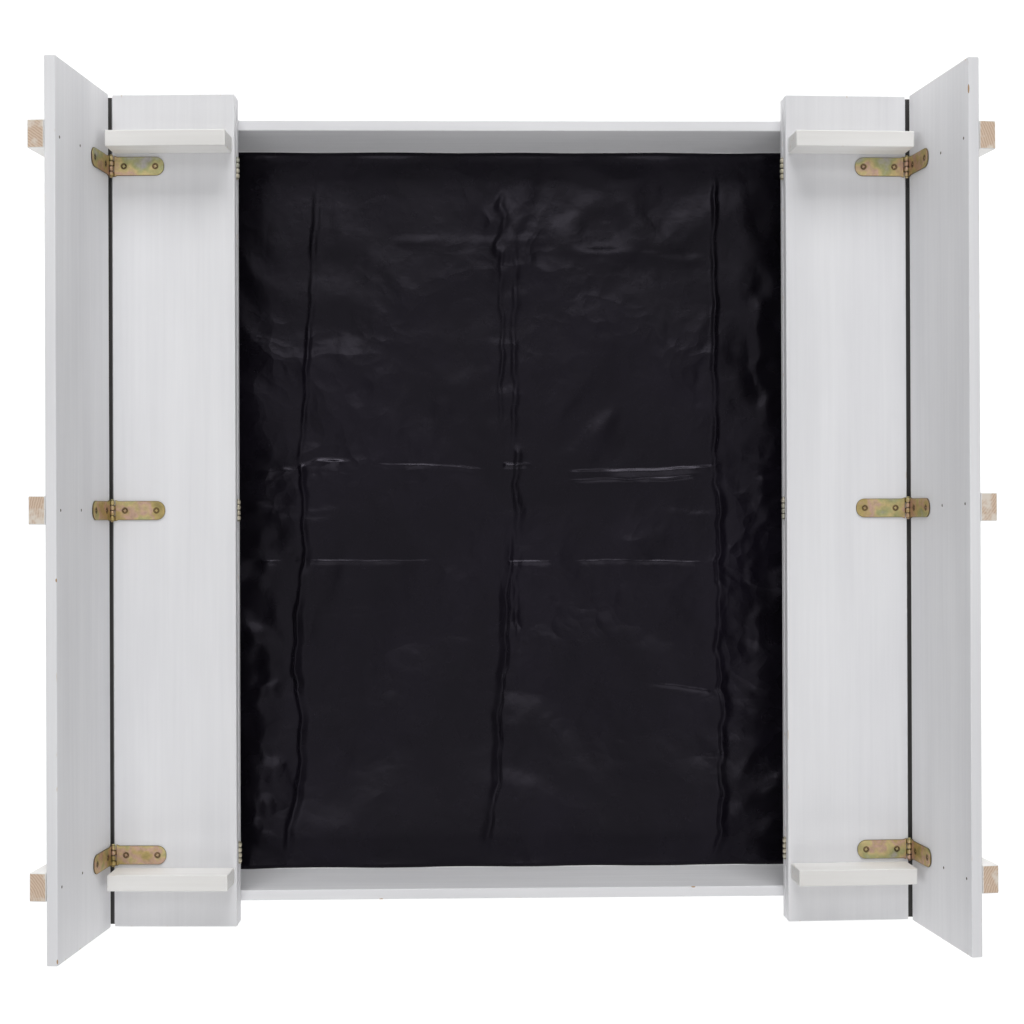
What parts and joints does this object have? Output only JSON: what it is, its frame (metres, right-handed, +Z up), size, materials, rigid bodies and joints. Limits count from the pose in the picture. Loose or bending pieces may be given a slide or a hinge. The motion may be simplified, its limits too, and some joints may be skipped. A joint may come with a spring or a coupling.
{
  "type": "sandbox",
  "caption": "Low square wooden sandbox whose hinged lids fold open into facing benches with backrests, over a black ground sheet.",
  "frame": {"origin": "on the ground under the middle of the box", "axes": "+Z up, +X across the box from bench to bench, +Y along the benches"},
  "size_m": [1.0174, 0.95, 0.3196],
  "materials": {
    "painted_fir": "thin white paint on fir boards",
    "painted_strip": "thin white paint on fir strip, bare end grain",
    "black_plastic": "thin creased black film",
    "yellow_zinc": "iridescent yellow zinc plating"
  },
  "bodies": {
    "box": {"end_wall_front": "painted_fir", "end_wall_back": "painted_fir", "ground_sheet": "black_plastic", "side_wall_right": "painted_fir", "bench_base_right": "painted_fir", "corner_post_right_front": "painted_strip", "corner_post_right_back": "painted_strip", "lid_hinge_right_front_base_leaf": "yellow_zinc", "lid_hinge_right_middle_base_leaf": "yellow_zinc", "lid_hinge_right_back_base_leaf": "yellow_zinc", "side_wall_left": "painted_fir", "bench_base_left": "painted_fir", "corner_post_left_front": "painted_strip", "corner_post_left_back": "painted_strip", "lid_hinge_left_front_base_leaf": "yellow_zinc", "lid_hinge_left_middle_base_leaf": "yellow_zinc", "lid_hinge_left_back_base_leaf": "yellow_zinc"},
    "right_seat": {"seat_board_right": "painted_fir", "seat_cleat_right_front": "painted_strip", "seat_cleat_right_back": "painted_strip", "lid_hinge_right_front_seat_leaf": "yellow_zinc", "lid_hinge_right_middle_seat_leaf": "yellow_zinc", "lid_hinge_right_back_seat_leaf": "yellow_zinc", "back_hinge_right_front_seat_leaf": "yellow_zinc", "back_hinge_right_front_pin": "yellow_zinc", "back_hinge_right_middle_seat_leaf": "yellow_zinc", "back_hinge_right_middle_pin": "yellow_zinc", "back_hinge_right_back_seat_leaf": "yellow_zinc", "back_hinge_right_back_pin": "yellow_zinc"},
    "right_backrest": {"backrest_board_right": "painted_fir", "backrest_batten_right_front": "painted_strip", "backrest_batten_right_middle": "painted_strip", "backrest_batten_right_back": "painted_strip", "back_hinge_right_front_backrest_leaf": "yellow_zinc", "back_hinge_right_middle_backrest_leaf": "yellow_zinc", "back_hinge_right_back_backrest_leaf": "yellow_zinc"},
    "left_seat": {"seat_board_left": "painted_fir", "seat_cleat_left_front": "painted_strip", "seat_cleat_left_back": "painted_strip", "lid_hinge_left_front_seat_leaf": "yellow_zinc", "lid_hinge_left_middle_seat_leaf": "yellow_zinc", "lid_hinge_left_back_seat_leaf": "yellow_zinc", "back_hinge_left_front_seat_leaf": "yellow_zinc", "back_hinge_left_front_pin": "yellow_zinc", "back_hinge_left_middle_seat_leaf": "yellow_zinc", "back_hinge_left_middle_pin": "yellow_zinc", "back_hinge_left_back_seat_leaf": "yellow_zinc", "back_hinge_left_back_pin": "yellow_zinc"},
    "left_backrest": {"backrest_board_left": "painted_fir", "backrest_batten_left_front": "painted_strip", "backrest_batten_left_middle": "painted_strip", "backrest_batten_left_back": "painted_strip", "back_hinge_left_front_backrest_leaf": "yellow_zinc", "back_hinge_left_middle_backrest_leaf": "yellow_zinc", "back_hinge_left_back_backrest_leaf": "yellow_zinc"}
  },
  "joints": [
    {"name": "right_seat_fold", "type": "hinge", "parent": "box", "child": "right_seat", "pos_m": [0.3145, 0, 0.1383], "axis": [0, -1, 0], "range_deg": [0, 182.32]},
    {"name": "right_backrest_fold", "type": "hinge", "parent": "right_seat", "child": "right_backrest", "pos_m": [0.45611, 0, 0.15057], "axis": [0, 1, 0], "range_deg": [0, 85.76]},
    {"name": "left_seat_fold", "type": "hinge", "parent": "box", "child": "left_seat", "pos_m": [-0.3145, 0, 0.1383], "axis": [0, 1, 0], "range_deg": [0, 182.32]},
    {"name": "left_backrest_fold", "type": "hinge", "parent": "left_seat", "child": "left_backrest", "pos_m": [-0.45611, 0, 0.15057], "axis": [0, -1, 0], "range_deg": [0, 85.76]}
  ],
  "couplings": [
    {"joint": "right_backrest_fold", "follows": "right_seat_fold", "ratio": 0.47038},
    {"joint": "left_backrest_fold", "follows": "left_seat_fold", "ratio": 0.47038}
  ]
}
